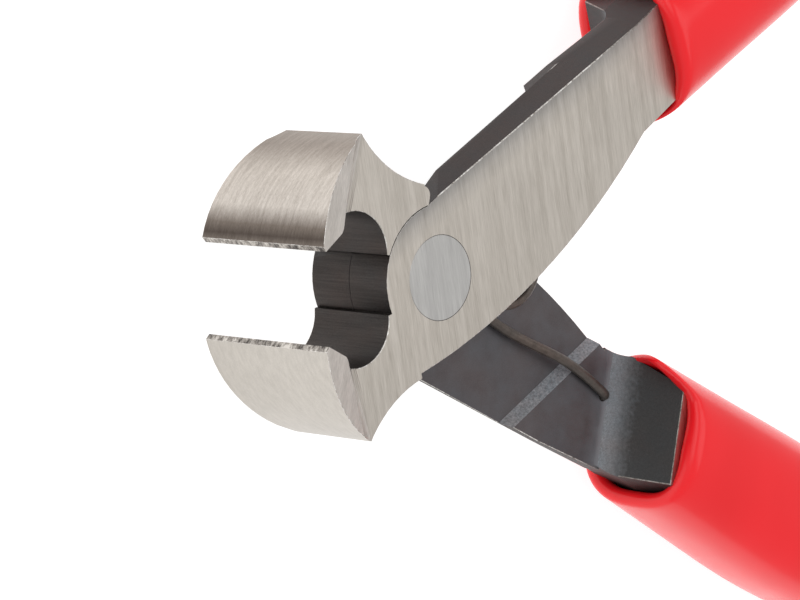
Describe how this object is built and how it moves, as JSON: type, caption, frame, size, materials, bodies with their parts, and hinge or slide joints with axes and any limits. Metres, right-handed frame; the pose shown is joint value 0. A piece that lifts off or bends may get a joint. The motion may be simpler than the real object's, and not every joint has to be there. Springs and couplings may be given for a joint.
{
  "type": "end cutting pliers",
  "caption": "Small end cutting pliers with wide flush jaws, a riveted lap joint, a wire return spring and moulded handle grips.",
  "frame": {"origin": "centre of the bounding box at its lowest face, with the tool lying on its side and its handles open", "axes": "+X from the jaws towards the grips, +Y from the lower handle towards the upper handle, +Z along the rivet's axis, out of the front half's polished face"},
  "size_m": [0.1071, 0.0942, 0.0144],
  "materials": {
    "ground_steel": "polished faces ground across the tool, edges and lap faces left dark and forged",
    "rivet_steel": "ground flush with the polished faces",
    "spring_wire": "dark drawn wire",
    "grip": "smooth soft red"
  },
  "bodies": {
    "front_lever": {"front_half": "ground_steel", "pivot_rivet": "rivet_steel", "upper_grip": "grip"},
    "rear_lever": {"rear_half": "ground_steel", "lower_grip": "grip"},
    "spring_upper": {"spring_upper_half": "spring_wire"},
    "spring_lower": {"spring_lower_half": "spring_wire"}
  },
  "joints": [
    {"name": "handle_pivot", "type": "hinge", "parent": "front_lever", "child": "rear_lever", "pos_m": [-0.03816, 0, 0.0072], "axis": [0, 0, 1], "range_deg": [0, 27.5], "stiffness_Nm_per_rad": 0.5, "springref_deg": -22.92},
    {"name": "upper_leg_pivot", "type": "hinge", "parent": "front_lever", "child": "spring_upper", "pos_m": [-0.01323, 0.0133, 0.0072], "axis": [0, 0, 1], "range_deg": [-9, 0]},
    {"name": "lower_leg_pivot", "type": "hinge", "parent": "rear_lever", "child": "spring_lower", "pos_m": [-0.01323, -0.0133, 0.0072], "axis": [0, 0, 1], "range_deg": [0, 9]}
  ],
  "couplings": [
    {"joint": "upper_leg_pivot", "follows": "handle_pivot", "ratio": -0.318},
    {"joint": "lower_leg_pivot", "follows": "handle_pivot", "ratio": 0.318}
  ]
}
